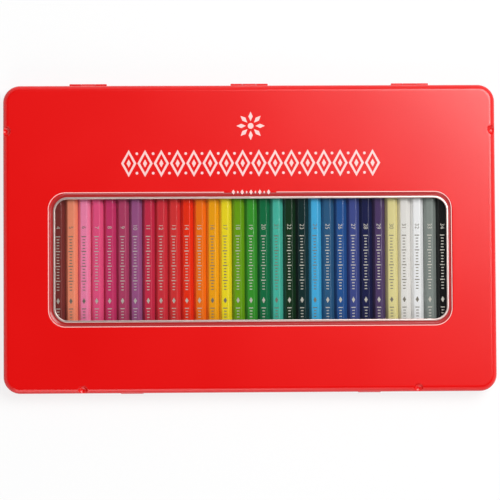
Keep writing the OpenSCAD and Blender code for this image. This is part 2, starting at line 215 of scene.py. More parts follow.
class PencilSizes(bpy.types.PropertyGroup):
    """Sizes that all pencils share"""

    length: length("Length", PENCIL_HIGH[1] - PENCIL_LOW[1], "Length of a sharpened pencil")
    flats: length("Flats", 6.8, "Width of a pencil across its flats")
    rounding: length("Edge rounding", 0.6, "Radius of the lacquered edges between two flats")
    core: length("Core diameter", 3, "Diameter of the coloured core")
    tip: length("Tip diameter", 0.7, "Diameter of the blunted point")
    bevel: length("End bevel", 0.35, "Bevel round the blunt end")
    cone: angle("Cone angle", 21, "Whole angle of the sharpened cone")
    roll: angle("Roll", 5, "How far the upper flat leans to the left")
    roll_spread: angle("Roll spread", 1, "How much the pencils' rolls differ")


class PrintSizes(bpy.types.PropertyGroup):
    """Sizes of the printed line and ornament on the lid"""

    line_width: length("Line width", 237.8, "Width of the printed line's outline")
    line_depth: length("Line depth", 79, "Depth of the printed line's outline")
    line_corner: length("Line radius", 10, "Corner radius of the printed line")
    line_x: length("Line X", 0.1, "Place of the printed line's centre along X")
    line_thick: length("Line stroke", 0.4, "Stroke of the printed line")
    line_gap: length("Line gap", 31, "Gap in the line's back side")
    ink: length("Ink", 0.02, "How far the print stands above the enamel")
    band_y: length("Band Y", 44.5, "Place of the ornament's band along Y")
    band_pitch: length("Band pitch", 9.6, "Distance between two motifs of the band")
    band_height: length("Band height", 16.0, "Height of a motif of the band")
    band_count: count("Motifs", 16, "Number of motifs in the band")
    rosette_y: length("Rosette Y", 66.5, "Place of the rosette along Y")
    rosette_radius: length("Rosette radius", 8.5, "Radius of the rosette")
    petals: count("Petals", 8, "Number of petals in the rosette", 3)
    row_pitch: length("Row pitch", 2.6, "Distance between two lozenges in the line's gap")
    row_height: length("Row height", 3.0, "Height of the larger lozenges in the line's gap")
    row_count: count("Row lozenges", 9, "Number of lozenges in the line's gap")


class Finishes(bpy.types.PropertyGroup):
    """Colours of the finishes"""

    enamel: colour("Enamel", (0.885, 0.012, 0.008), "Red enamel of the case")
    tin: colour("Tin", (0.84, 0.83, 0.81), "Bare tinplate")
    hem: colour("Hem", (0.84, 0.75, 0.73), "Rolled hem round the window")
    # The step's colour is painted shade: a darker red that stands in for the shade falling in the recess round the
    # hem
    step: colour("Step", (0.66, 0.13, 0.13), "Thin enamel on the step round the window")
    ink: colour("Ink", (0.95, 0.78, 0.77), "White print on the lid")
    foil: colour("Foil", (0.88, 0.86, 0.81), "Foil marks on the dark pencils")
    dull_foil: colour("Dull foil", (0.54, 0.52, 0.47), "Foil marks on the light pencils")
    cedar: colour("Cedar", (0.80, 0.61, 0.42), "Bare wood of the cones")
    tray: colour("Tray", (0.075, 0.075, 0.08), "Moulded tray")
    tape: colour("Tape", (0.88, 0.88, 0.86), "Foam tape")
    steel: colour("Steel", (0.62, 0.62, 0.63), "Hinge pins")


class Stage(bpy.types.PropertyGroup):
    """Camera and light"""

    camera_place: bpy.props.FloatVectorProperty(
        name="Camera place", description="Where the camera stands", default=(-0.0312, -0.0476, 1.2057),
        size=3, unit="LENGTH", subtype="TRANSLATION",
    )
    camera_turn: bpy.props.FloatVectorProperty(
        name="Camera turn", description="How the camera is turned",
        default=tuple(math.radians(a) for a in (1.966, -1.479, -0.332)), size=3, unit="ROTATION", subtype="EULER",
    )
    lens: level("Lens", 145.7, "Focal length in millimetres", "CAMERA")
    softbox: level("Softbox", 20.0, "Power of the softbox behind on the right", "POWER")
    fill: level("Fill", 4.5, "Power of the softbox in front", "POWER")
    ambient: level("Ambient", 0.5, "Light from low down all round")
    overhead: level("Overhead", 0.06, "Light from straight above")


class Lacquer(bpy.types.PropertyGroup):
    """One pencil's lacquer"""

    shade: colour("Shade", (0.5, 0.5, 0.5), "Colour of the lacquer and of the core")


class TinSettings(bpy.types.PropertyGroup):
    """All settings of the pencil tin"""

    tin: bpy.props.PointerProperty(type=TinSizes, name="Tin", description="Sizes of the case")
    pencil: bpy.props.PointerProperty(type=PencilSizes, name="Pencils", description="Sizes of the pencils")
    print_on: bpy.props.PointerProperty(type=PrintSizes, name="Print", description="Sizes of the print")
    finish: bpy.props.PointerProperty(type=Finishes, name="Finishes", description="Colours")
    stage: bpy.props.PointerProperty(type=Stage, name="Stage", description="Camera and light")
    lacquers: bpy.props.CollectionProperty(type=Lacquer, name="Lacquers", description="One for each pencil")


# ---------- Node trees ----------


def find(sockets, key):
    """A socket by its number, its identifier, or the name of one in use."""
    if isinstance(key, int):
        return sockets[key]
    found = [s for s in sockets if s.identifier == key] or [s for s in sockets if s.name == key and s.enabled]
    if not found:
        raise KeyError(f"no socket {key!r} among {[s.identifier for s in sockets]}")
    return found[0]


def operator(operation, swapped=False):
    """A method of Value that adds one Math node."""
    return lambda self, other: self.nodes.math(operation, *((other, self) if swapped else (self, other)))


class Value:
    """A socket of a node tree. Python's operators on it add Math nodes."""

    def __init__(self, nodes, socket):
        self.nodes, self.socket = nodes, socket

    def other(self, key):
        """Another output of the same node."""
        return Value(self.nodes, find(self.socket.node.outputs, key))

    def math(self, operation, *others):
        """A Math node whose first value is this one."""
        return self.nodes.math(operation, self, *others)

    __add__ = __radd__ = operator("ADD")
    __mul__ = __rmul__ = operator("MULTIPLY")
    __sub__, __rsub__ = operator("SUBTRACT"), operator("SUBTRACT", True)
    __truediv__, __rtruediv__ = operator("DIVIDE"), operator("DIVIDE", True)
    __gt__, __lt__ = operator("GREATER_THAN"), operator("LESS_THAN")


class Nodes:
    """Adds nodes to one tree, for shaders and Geometry Nodes alike."""

    def __init__(self, tree):
        self.tree = tree
        tree.nodes.clear()

    def node(self, kind, settings=None, values=None, out=0):
        """A node of a type with its settings, then its sockets' values or links. Gives one output."""
        made = self.tree.nodes.new(kind)
        for key, setting in (settings or {}).items():
            if key == "items":
                while len(made.index_switch_items) < setting:
                    made.index_switch_items.new()
            else:
                setattr(made, key, setting)
        for key, value in (values or {}).items():
            socket = find(made.inputs, key)
            for one in value if isinstance(value, list) else [value]:
                if isinstance(one, Value):
                    self.tree.links.new(one.socket, socket)
                else:
                    socket.default_value = one
        return Value(self, find(made.outputs, out)) if len(made.outputs) else made

    def math(self, operation, *values):
        return self.node("ShaderNodeMath", {"operation": operation}, dict(enumerate(values)))

    def mix(self, factor, first, second):
        """A mix of two colours."""
        values = {"Factor_Float": factor, "A_Color": (*first, 1.0), "B_Color": (*second, 1.0)}
        return self.node("ShaderNodeMix", {"data_type": "RGBA"}, values, "Result_Color")

    def join(self, *parts):
        return self.node("GeometryNodeJoinGeometry", values={0: list(reversed(parts))})


# ---------- Finishes ----------

FINISHES = {}


def finish(name, make, *shades):
    """The finish of that name, made when it is first asked for. The frame's own materials are named after slots."""
    if name not in FINISHES:
        made = bpy.data.materials.new("finish_" + name)
        if made.name != "finish_" + name:
            raise RuntimeError(f"the name finish_{name} is taken")
        made.use_nodes = True
        make(Nodes(made.node_tree), *(tuple(shade) for shade in shades))
        FINISHES[name] = made
    return FINISHES[name]


def noise(n, scale, detail=2.0, roughness=0.5):
    """Noise on object coordinates. A scale for each axis draws the pattern out."""
    place = n.node("ShaderNodeTexCoord", out="Object")
    if isinstance(scale, tuple):
        place = n.node("ShaderNodeVectorMath", {"operation": "MULTIPLY"}, {0: place, 1: scale})
        scale = 1.0
    values = {"Vector": place, "Scale": scale, "Detail": detail, "Roughness": roughness}
    return n.node("ShaderNodeTexNoise", values=values)


def principled(n, values, relief=None, depth=0.0):
    """Ends a material in a Principled surface, whose relief is depth metres deep."""
    if relief is not None:
        values["Normal"] = n.node("ShaderNodeBump", values={"Distance": depth, "Height": relief})
    shader = n.node("ShaderNodeBsdfPrincipled", values=values)
    n.node("ShaderNodeOutputMaterial", values={"Surface": shader})


def surface(n, shade, dark, spots, roughness, relief=None, depth=0.0, metallic=0.0):
    """Ends a material whose colour runs, with its spots, from a share of the shade to all of it."""
    spotted = n.mix(spots, [dark * c for c in shade], shade)
    principled(n, {"Base Color": spotted, "Roughness": roughness, "Metallic": metallic}, relief, depth)


def enamel(n, shade):
    drift = noise(n, 14.0)
    surface(n, shade, 0.93, drift, 0.22 + 0.06 * drift, noise(n, 700.0, 1.0), 3e-6)


def tinplate(n, shade):
    grain = noise(n, (60.0, 1400.0, 1400.0))
    surface(n, shade, 0.86, noise(n, 55.0), 0.3 + 0.1 * grain, grain, 2e-6, metallic=0.95)


def print_ink(n, shade):
    speck = noise(n, 1500.0, 1.0)
    surface(n, shade, 0.96, speck, 0.38 + 0.1 * speck)


def foil(n, shade):
    speck = noise(n, 2600.0)
    surface(n, shade, 0.75, speck, 0.32 + 0.2 * speck, metallic=0.5)


def lacquer(n, shade):
    drift = noise(n, (90.0, 12.0, 90.0))
    ripple = noise(n, (420.0, 30.0, 420.0), 1.0)
    surface(n, shade, 0.9, drift, 0.14 + 0.08 * drift, ripple, 1e-5)


def cedar(n, shade):
    grain = noise(n, (2200.0, 70.0, 2200.0), 3.0, 0.6)
    pores = noise(n, (5000.0, 300.0, 5000.0), 1.0)
    surface(n, shade, 0.68, grain, 0.62 + 0.15 * pores, grain + pores, 3e-5)


def coloured_core(n, shade):
    wax = noise(n, 2500.0)
    surface(n, shade, 0.8, wax, 0.5 + 0.15 * wax, wax, 1.5e-5)


def moulded_plastic(n, shade):
    skin = noise(n, 1900.0)
    surface(n, shade, 0.8, noise(n, 30.0), 0.38 + 0.14 * skin, skin, 1.2e-5)


def foam(n, shade):
    place = n.node("ShaderNodeTexCoord", out="Object")
    cells = n.node("ShaderNodeTexVoronoi", values={"Vector": place, "Scale": 3800.0})
    surface(n, shade, 0.8, 1.0 - cells, 0.9, cells, 4e-5)


def drawn_wire(n, shade):
    lines = noise(n, (40.0, 6000.0, 6000.0))
    surface(n, shade, 0.8, lines, 0.28 + 0.15 * lines, lines, 4e-6, metallic=1.0)


def clear_film(n):
    values = {"Base Color": (0.03, 0.03, 0.032, 1.0), "Roughness": 0.06, "IOR": 3.0, "Alpha": 0.07}
    principled(n, values, noise(n, 22.0, 1.0), 2e-4)


def pale_floor(n):
    """White to the camera and in mirrors, and grey paper in part, which keeps the tin's shadow."""
    pale = n.mix(noise(n, 300.0), (0.86, 0.86, 0.86), (0.9, 0.9, 0.9))
    paper = n.node("ShaderNodeBsdfDiffuse", values={"Color": pale})
    white = n.node("ShaderNodeEmission", values={"Color": WHITE, "Strength": 1.0})
    rays = n.node("ShaderNodeLightPath", out="Is Camera Ray")
    seen = rays.math("MAXIMUM", rays.other("Is Glossy Ray")).math("MAXIMUM", rays.other("Is Transmission Ray"))
    both = n.node("ShaderNodeMixShader", values={0: seen * 0.8, 1: paper, 2: white})
    n.node("ShaderNodeOutputMaterial", values={"Surface": both})


# Each colour's finish: its name and what makes it
KINDS = {
    "enamel": ("red_enamel", enamel),
    "tin": ("bare_tin", tinplate),
    "hem": ("rolled_hem", tinplate),
    # The step's finish is the enamel in a darker red, painted shade for the recess round the hem
    "step": ("step_enamel", enamel),
    "ink": ("white_print", print_ink),
    "foil": ("foil", foil),
    "dull_foil": ("dull_foil", foil),
    "cedar": ("cedar", cedar),
    "tray": ("moulded_plastic", moulded_plastic),
    "tape": ("foam_tape", foam),
    "steel": ("drawn_wire", drawn_wire),
}


def coat(settings, key):
    """The finish of one of the settings' colours."""
    return finish(*KINDS[key], getattr(settings.finish, key))


# ---------- Pieces ----------


def place_piece(piece, body, nodes=()):
    """A finished piece rides on a body and stands for its CAD nodes."""
    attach(piece, body)
    if nodes:
        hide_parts(*nodes)


def new_object(name, data):
    made = bpy.data.objects.new(name, data)
    bpy.context.scene.collection.objects.link(made)
    return made


def new_piece(name, skin, materials):
    """A smooth-shaded piece from a skin's points in millimetres, its faces, and each face's material."""
    points, faces, marks = skin
    mesh = bpy.data.meshes.new(name)
    mesh.from_pydata((np.asarray(points) * MM).tolist(), [], faces)
    for material in materials:
        mesh.materials.append(material)
    mesh.polygons.foreach_set("material_index", marks)
    shade_smooth(mesh)
    return new_object(name, mesh)


def shade_smooth(mesh):
    mesh.polygons.foreach_set("use_smooth", [True] * len(mesh.polygons))
    mesh.set_sharp_from_angle(angle=SHARP_ANGLE)
    mesh.update()


def smooth_copy(node, name, material, body, slack=0.0):
    """Places a merged copy of a CAD node, whose own triangles are loose and flat.

    slack is how far its lower and upper faces are drawn in, in millimetres. A clear piece and one that it
    touches would else share a face, and a ray could miss the second one.
    """
    mesh = frame["nodes"][node].data.copy()
    mesh.name = name
    middle = sum(corner.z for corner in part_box(node)) / 2
    for vertex in mesh.vertices:
        vertex.co.z += slack * MM if vertex.co.z < middle else -slack * MM
    if "custom_normal" in mesh.attributes:
        mesh.attributes.remove(mesh.attributes["custom_normal"])
    shape = bmesh.new()
    shape.from_mesh(mesh)
    bmesh.ops.remove_doubles(shape, verts=shape.verts, dist=MERGE)
    shape.to_mesh(mesh)
    shape.free()
    mesh.materials.clear()
    mesh.materials.append(material)
    shade_smooth(mesh)
    place_piece(new_object(name, mesh), body, [node])


def grow(name, tree, inputs, path=()):
    """A piece grown by a Geometry Nodes tree, with its inputs set by name. path is an open line in millimetres."""
    mesh = bpy.data.meshes.new(name)
    mesh.from_pydata([[c * MM for c in point] for point in path], [(i - 1, i) for i in range(1, len(path))], [])
    piece = new_object(name, mesh)
    modifier = piece.modifiers.new("Growth", "NODES")
    modifier.node_group = tree
    for item in tree.interface.items_tree:
        if item.in_out == "INPUT" and item.name in inputs:
            modifier[item.identifier] = inputs[item.name]
    bpy.context.view_layer.update()
    evaluated = piece.evaluated_get(bpy.context.evaluated_depsgraph_get())
    grown = bpy.data.meshes.new_from_object(evaluated)
    piece.modifiers.remove(modifier)
    piece.data = grown
    grown.name = name
    if not grown.polygons:
        raise RuntimeError(f"{name} grew no faces")
    if grown.materials and grown.materials[0] is None:
        grown.materials.pop(index=0)
    shade_smooth(grown)
    return piece


# ---------- The tin's shells, in millimetres ----------

RIGHT, BACK, LEFT, FRONT = range(4)
FAR_AWAY = 1e6
HAIR = 0.01
# Stations lie close together on these spans round a dimple and at a snap bulge's ends, and wide apart elsewhere
DIMPLE_SPAN = np.arange(-4.2, 4.21, 0.3)
SNAP_SPAN = np.concatenate([np.linspace(-8.2, -5.2, 11), np.linspace(5.2, 8.2, 11)])
WIDE_PITCH = 6
# A wide station this near a close one is left out
CROWDED = 0.15
# Steps round a corner, up the lid's skirt, over its shoulder, round the pan's bottom edge, its curl and a knuckle
CORNER_STEPS, SKIRT_STEPS, SHOULDER_STEPS, BOTTOM_STEPS, CURL_STEPS, KNUCKLE_STEPS = 14, 13, 16, 12, 18, 28
NECK_ROWS = 15
# Steps round the hem outside and inside its top
HEM_OUTSIDE_STEPS, HEM_INSIDE_STEPS = 6, 10
# Distances of the rows on the flat inside the shoulder, which the dimples' balls reach
FLAT_ROWS = np.arange(0.4, 1.9, 0.35)
DIMPLE_BLEND = 0.25
# How far the rows beside an edge lie from it: the step's head and foot, the floor's bead, a notch and the curl
STEP_MARGIN, FOOT_MARGIN, BEAD_MARGIN, NOTCH_MARGIN, CURL_MARGIN = 0.9, 0.6, 0.6, 0.3, 0.1
# How far the rounding of a fold reaches: on the lid's step, in the bead's groove and on its ridge
STEP_FOLD, GROOVE_FOLD, RIDGE_FOLD = 0.3, 0.25, 0.2
BEAD_FOLD_STEPS = 3
# How far the sides of the bead's groove slope in
BEAD_SLOPE = 0.3
# How thick a web of the pan's wall is left behind a notch
WEB = 0.02


class Stations:
    """Places round a rounded rectangle, counter-clockwise seen from above.

    They lie close together where a side has a feature, so that every row of a shell shares them.
    """

    def __init__(self, s):
        places = []
        half_knuckle = s.lid_knuckle / 2 + s.knuckle_gap / 2
        half_hinge = s.hinge_width / 2 + s.knuckle_gap / 2
        edges = (-half_hinge, -half_knuckle, half_knuckle, half_hinge)
        steps = np.array([edge + sign * HAIR for edge in edges for sign in (-1, 1)])
        marks = {
            RIGHT: [s.side_dimple + DIMPLE_SPAN],
            BACK: [x + steps for x in (-s.hinge_place, 0, s.hinge_place)],
            LEFT: [-s.side_dimple + DIMPLE_SPAN],
            FRONT: [x + DIMPLE_SPAN for x in (-s.front_dimple, s.front_dimple)]
            + [x + SNAP_SPAN for x in (-s.snap_place, s.snap_place)],
        }
        for side in range(4):
            half = (s.case_depth if side in (RIGHT, LEFT) else s.case_width) / 2 - s.corner
            coarse = np.linspace(-half, half, math.ceil(2 * half / WIDE_PITCH) + 1)
            busy = np.concatenate(marks[side])
            clear = [c for c in coarse if np.abs(busy - c).min() > CROWDED or abs(c) > half - 1e-6]
            for along in np.sort(np.concatenate([clear, busy])):
                places.append((side, along / half, 0.0, along))
            for turn in np.linspace(0, math.pi / 2, CORNER_STEPS + 1)[1:-1]:
                places.append((side, 1.0, turn, FAR_AWAY))
        self.side, self.share, self.turn, self.along = np.array(places).T

    def __len__(self):
        return len(self.side)

    def near(self, side, place):
        """Each station's distance along a side from a place on it."""
        return np.where(self.side == side, self.along - place, FAR_AWAY)


class Outline:
    """A rounded rectangle at shared stations."""

    def __init__(self, stations, width, depth, radius, centre=(0.0, 0.0)):
        angle = stations.side * math.pi / 2
        even = stations.side % 2 == 0
        across = np.where(even, width, depth) / 2
        along = np.where(even, depth, width) / 2 - radius
        out = np.stack([np.cos(angle), np.sin(angle)], 1)
        on = np.stack([-np.sin(angle), np.cos(angle)], 1)
        cosine, sine = np.cos(stations.turn)[:, None], np.sin(stations.turn)[:, None]
        self.outward = out * cosine + on * sine
        centres = out * (across - radius)[:, None] + on * (stations.share * along)[:, None]
        self.points = centres + radius * self.outward + np.array(centre)

    def row(self, outward, height):
        """The points a distance outside the outline, at a height."""
        flat = self.points + np.broadcast_to(outward, len(self.points))[:, None] * self.outward
        return np.column_stack([flat, np.broadcast_to(height, len(flat))])


class Shell:
    """Rows of points, one for each station. Faces look outwards if rows run up an outer wall."""

    def __init__(self):
        self.rows, self.bands = [], []

    def add(self, points, band):
        """A row, and the material of the band after it."""
        self.rows.append(points)
        self.bands.append(band)

    def trace(self, outline, path, band):
        """Rows of an outline at each distance and height of a path."""
        for outward, height in path:
            self.add(outline.row(outward, height), band)

    def skin(self, closed):
        count, stations = len(self.rows), len(self.rows[0])
        here = np.arange(stations)
        after = (here + 1) % stations
        faces, marks = [], []
        for row in range(count if closed else count - 1):
            low, high = row * stations, (row + 1) % count * stations
            faces += np.stack([low + here, low + after, high + after, high + here], 1).tolist()
            marks += [self.bands[row]] * stations
        if not closed:
            faces += [here[::-1].tolist(), ((count - 1) * stations + here).tolist()]
            marks += [self.bands[0], self.bands[-1]]
        return np.concatenate(self.rows), faces, marks


def arc(centre, radius, start, end, steps):
    """Points of an arc in a section, with its angles in degrees."""
    angle = np.radians(np.linspace(start, end, steps + 1))
    return np.stack([centre[0] + radius * np.cos(angle), centre[1] + radius * np.sin(angle)], 1)


def rounded(corners, reach, steps=4):
    """A path whose inner corners are rounded, from a reach before each to as far after it."""
    corners = [np.array(c, float) for c in corners]
    path = [corners[0]]
    for before, corner, after in zip(corners, corners[1:], corners[2:]):
        start = corner + (before - corner) / np.linalg.norm(before - corner) * reach
        end = corner + (after - corner) / np.linalg.norm(after - corner) * reach
        for t in np.linspace(0, 1, steps + 1):
            path.append(start * (1 - t) ** 2 + 2 * corner * t * (1 - t) + end * t * t)
    return path + [corners[-1]]


def lower_of(first, second, blend):
    """The lower of two heights, blended over a reach."""
    h = np.clip(0.5 + 0.5 * (second - first) / blend, 0, 1)
    return second * (1 - h) + first * h - blend * h * (1 - h)


def dimpled(s, stations, outward, height, grown):
    """Heights of a row of the lid, pressed down by the dimples' balls, which are grown by the sheet inside."""
    ball = s.dimple_ball + grown
    ball_z = s.case_height - s.dimple_depth + s.dimple_ball
    height = np.broadcast_to(height, len(stations)).astype(float)
    places = [(RIGHT, s.side_dimple), (LEFT, -s.side_dimple), (FRONT, -s.front_dimple), (FRONT, s.front_dimple)]
    for side, place in places:
        spread = (outward + s.dimple_in) ** 2 + stations.near(side, place) ** 2
        inside = spread < ball**2
        pressed = np.where(inside, ball_z - np.sqrt(np.where(inside, ball**2 - spread, 0)), FAR_AWAY)
        height = np.where(inside, lower_of(height, pressed, DIMPLE_BLEND), height)
    return height


def bulged(s, stations, height, face, proud, radius):
    """How far outside the wall's line a row lies, where a snap's bar pushes it out of a face."""
    z = np.broadcast_to(height, len(stations)) - s.parting - s.snap_up
    outward = np.full(len(stations), float(face))
    straight = s.snap_length / 2 - s.snap_ball
    for place in (-s.snap_place, s.snap_place):
        end = np.maximum(np.abs(stations.near(FRONT, place)) - straight, 0)
        room = radius**2 - end**2 - z**2
        bar = proud - s.snap_ball + np.sqrt(np.maximum(room, 0))
        outward = np.where(room > 0, np.maximum(outward, bar), outward)
    return outward


def on_hinge(s, stations, inner, outer):
    """Which stations lie at a hinge, between two distances from its middle."""
    found = np.zeros(len(stations), bool)
    for place in (-s.hinge_place, 0, s.hinge_place):
        distance = np.abs(stations.near(BACK, place))
        found |= (distance > inner) & (distance < outer)
    return found


def knuckle(s, x, width, foot_down):
    """A knuckle and its leaf as a closed prism along X, with its bore open."""
    lean = math.atan2(s.leaf, -s.axis_out) - math.acos(s.knuckle_radius / math.hypot(s.axis_out, s.leaf))
    leaf_in = -s.sheet / 2 - s.axis_out
    bite = 2 * math.pi - math.acos(leaf_in / s.knuckle_radius)
    curl = arc((0, 0), s.knuckle_radius, math.degrees(lean), -math.degrees(bite), KNUCKLE_STEPS)
    tops = [[leaf_in, s.leaf * 0.5], [leaf_in, s.leaf], [-s.axis_out, s.leaf]]
    tangent = [np.array(tops[2]) * (1 - t) + curl[0] * t for t in (0.33, 0.66)]
    outer = np.array([*curl, *tops, *tangent])
    angle = np.arctan2(outer[:, 1], outer[:, 0])
    inner = s.bore * np.stack([np.cos(angle), np.sin(angle)], 1)
    flip = -1 if foot_down else 1
    points, faces, count = [], [], len(outer)
    for end in (-1, 1):
        for y, z in (*outer, *inner):
            points.append([x + end * width / 2, s.case_depth / 2 + s.axis_out + y, s.parting + flip * z])
    for i in range(count):
        j = (i + 1) % count
        for low, high in ((0, 2), (3, 1), (1, 0), (2, 3)):
            face = [low * count + i, low * count + j, high * count + j, high * count + i]
            faces.append(face if foot_down else face[:1] + face[:0:-1])
    return points, faces


def with_knuckles(s, skin, places, width, foot_down):
    """A shell's skin with knuckles added to it."""
    points, faces, marks = list(skin[0]), list(skin[1]), list(skin[2])
    for hinge in (-s.hinge_place, 0, s.hinge_place):
        for place in places:
            more, more_faces = knuckle(s, hinge + place, width, foot_down)
            faces += [[i + len(points) for i in face] for face in more_faces]
            marks += [ENAMEL] * len(more_faces)
            points += more
    return points, faces, marks


# The last material is the step's painted shade, a darker enamel in the recess round the hem
ENAMEL, TIN, HEM, STEP_SHADE = range(4)


def lid_skin(s):
    """The lid's points, faces and materials, from its rim over the top and back inside."""
    stations = Stations(s)
    case = Outline(stations, s.case_width, s.case_depth, s.corner)
    hem = Outline(stations, s.window_width, s.window_depth, s.window_corner, (s.window_x, s.window_y))
    shell = Shell()
    top, arc_z = s.case_height, s.case_height - s.shoulder
    notched = on_hinge(s, stations, (s.lid_knuckle + s.knuckle_gap) / 2, (s.hinge_width + s.knuckle_gap) / 2)
    rim = np.where(notched, s.parting + s.notch, s.parting + s.rim_gap)

    def side(inset):
        """Rows up the skirt, over the shoulder and onto the flat, an inset behind the sheet's outer face."""
        rows = []
        for share in np.linspace(0, 1, SKIRT_STEPS + 1)[:-1]:
            z = rim + (arc_z - rim) * share
            rows.append(case.row(bulged(s, stations, z, -inset, s.snap_proud, s.snap_ball - inset), z))
        shoulder = arc((-s.shoulder, arc_z), s.shoulder - inset, 0, 90, SHOULDER_STEPS)
        for outward, z in (*shoulder, *((-s.shoulder - flat, top - inset) for flat in FLAT_ROWS)):
            rows.append(case.row(outward, dimpled(s, stations, outward, z, inset)))
        return rows

    for row in side(0):
        shell.add(row, ENAMEL)
    floor = top - s.recess
    roll = (s.hem_width - s.hem_height) / 2
    half = s.hem_height / 2
    hem_z = floor - s.sheet + half
    crevice = math.degrees(math.asin((floor - hem_z) / half))
    beside = s.slope_head + STEP_MARGIN
    edge = [(beside, top), (s.slope_head, top), (s.slope_foot, floor), (s.slope_foot - FOOT_MARGIN, floor)]
    # The step's slope and floor get the darker enamel, painted shade where the recess round the hem lies in shade
    for outward, z in rounded(edge, STEP_FOLD):
        shell.add(hem.row(outward, z), STEP_SHADE if outward < s.slope_head else ENAMEL)
    inside = arc((-roll, hem_z), half, 90, 270, HEM_INSIDE_STEPS)
    shell.trace(hem, [*arc((roll, hem_z), half, crevice, 90, HEM_OUTSIDE_STEPS), *inside], HEM)
    miter = s.sheet * math.tan(math.atan2(s.recess, s.slope_head - s.slope_foot) / 2)
    under = [
        (roll, floor - s.sheet), (s.slope_foot + miter, floor - s.sheet),
        (s.slope_head + miter, top - s.sheet), (beside, top - s.sheet),
    ]
    shell.trace(hem, rounded(under, STEP_FOLD), TIN)
    for row in side(s.sheet)[::-1]:
        shell.add(row, TIN)
    return with_knuckles(s, shell.skin(True), [0], s.lid_knuckle, False)


def base_skin(s):
    """The base pan's points, faces and materials, from under its floor round the wall and back inside."""
    stations = Stations(s)
    case = Outline(stations, s.case_width, s.case_depth, s.corner)
    bead = Outline(stations, s.case_width - 2 * s.bead_inset, s.case_depth - 2 * s.bead_inset, s.corner)
    shell = Shell()
    notched = on_hinge(s, stations, -1, (s.lid_knuckle + s.knuckle_gap) / 2)
    high, width = s.bead_height, s.bead_width
    neck_in = -s.neck_out - s.sheet

    inner_edge, innermost = -width - BEAD_MARGIN, -width - 2 * BEAD_MARGIN
    groove = [(inner_edge, 0), (BEAD_SLOPE - width, high), (-BEAD_SLOPE, high), (BEAD_MARGIN, 0)]
    shell.trace(bead, [(innermost, 0), *rounded(groove, GROOVE_FOLD, BEAD_FOLD_STEPS)], ENAMEL)
    shell.trace(case, arc((-s.bottom, s.bottom), s.bottom, -90, 0, BOTTOM_STEPS), ENAMEL)
    notch_z = s.parting - s.notch
    web = WEB - s.sheet
    shell.trace(case, [(0, notch_z)], ENAMEL)
    shell.trace(case, [(np.where(notched, web, 0), np.where(notched, notch_z, s.parting)), (web, s.parting)], TIN)
    curl = (-s.neck_out - s.curl, s.neck_top - s.curl)
    neck = np.linspace(s.parting, curl[1], NECK_ROWS)

    def neck_rows(heights, face, radius):
        proud = s.neck_proud - s.neck_out
        shell.trace(case, [(bulged(s, stations, z, face, proud, radius), z) for z in heights], TIN)

    neck_rows(neck[:-1], -s.neck_out, s.snap_ball)
    meet = 360 - math.degrees(math.acos((neck_in - curl[0]) / s.curl))
    shell.trace(case, arc(curl, s.curl, 0, meet, CURL_STEPS), TIN)
    neck_rows(neck[neck < curl[1] - s.curl - CURL_MARGIN][::-1], neck_in, s.snap_ball - s.sheet)
    under = s.parting - s.sheet
    shell.trace(case, [(neck_in, under), (-s.sheet, under), (-s.sheet, notch_z - NOTCH_MARGIN)], TIN)
    shell.trace(case, arc((-s.bottom, s.bottom), s.bottom - s.sheet, 0, -90, BOTTOM_STEPS), TIN)
    ridge = [(BEAD_MARGIN, s.sheet), (0.0, s.sheet + high), (-width, s.sheet + high), (inner_edge, s.sheet)]
    shell.trace(bead, [*rounded(ridge, RIDGE_FOLD, BEAD_FOLD_STEPS), (innermost, s.sheet)], TIN)

    base_width = (s.hinge_width - s.lid_knuckle) / 2 - s.knuckle_gap
    places = [side * (s.hinge_width - base_width) / 2 for side in (-1, 1)]
    return with_knuckles(s, shell.skin(False), places, base_width, True)


# ---------- Geometry Nodes trees ----------

# The inputs' kinds. All others are plain numbers
INPUT_KINDS = {
    "Int": ("Count", "Petals", "Number"),
    "Vector": ("Place",),
    "Geometry": ("Path",),
    "Material": ("Material", "Lacquer", "Wood", "Lead", "Foil"),
}


def new_tree(name, inputs):
    """An empty tree with named inputs, and a function that gives each input as a Value."""
    tree = bpy.data.node_groups.new(name, "GeometryNodeTree")
    tree.interface.new_socket("Geometry", in_out="OUTPUT", socket_type="NodeSocketGeometry")
    for title in inputs.split():
        kind = next((kind for kind, titles in INPUT_KINDS.items() if title in titles), "Float")
        tree.interface.new_socket(title, in_out="INPUT", socket_type="NodeSocket" + kind)
    n = Nodes(tree)
    return tree, n, n.node("NodeGroupInput").other


def end_tree(n, geometry):
    n.node("NodeGroupOutput", values={"Geometry": realized(n, geometry)})


def end_print(n, given, geometry):
    """Ends the tree of a print in its place."""
    placed = moved(n, realized(n, geometry), Translation=given("Place"))
    end_tree(n, coated(n, placed, given("Material")))


def realized(n, geometry):
    return n.node("GeometryNodeRealizeInstances", values={"Geometry": geometry})


def coated(n, geometry, material, **values):
    return n.node("GeometryNodeSetMaterial", values={"Geometry": geometry, "Material": material, **values})


def moved(n, geometry, **values):
    return n.node("GeometryNodeTransform", values={"Geometry": geometry, **values})


def vector(n, x=0.0, y=0.0, z=0.0):
    return n.node("ShaderNodeCombineXYZ", values={0: x, 1: y, 2: z})


def line_of(n, count, pitch, start):
    """Points in a row along X."""
    values = {"Count": count, "Start Location": start, "Offset": vector(n, pitch)}
    return n.node("GeometryNodeMeshLine", {"mode": "OFFSET"}, values)


def spread(n, points, instance, **values):
    return n.node("GeometryNodeInstanceOnPoints", values={"Points": points, "Instance": instance, **values})


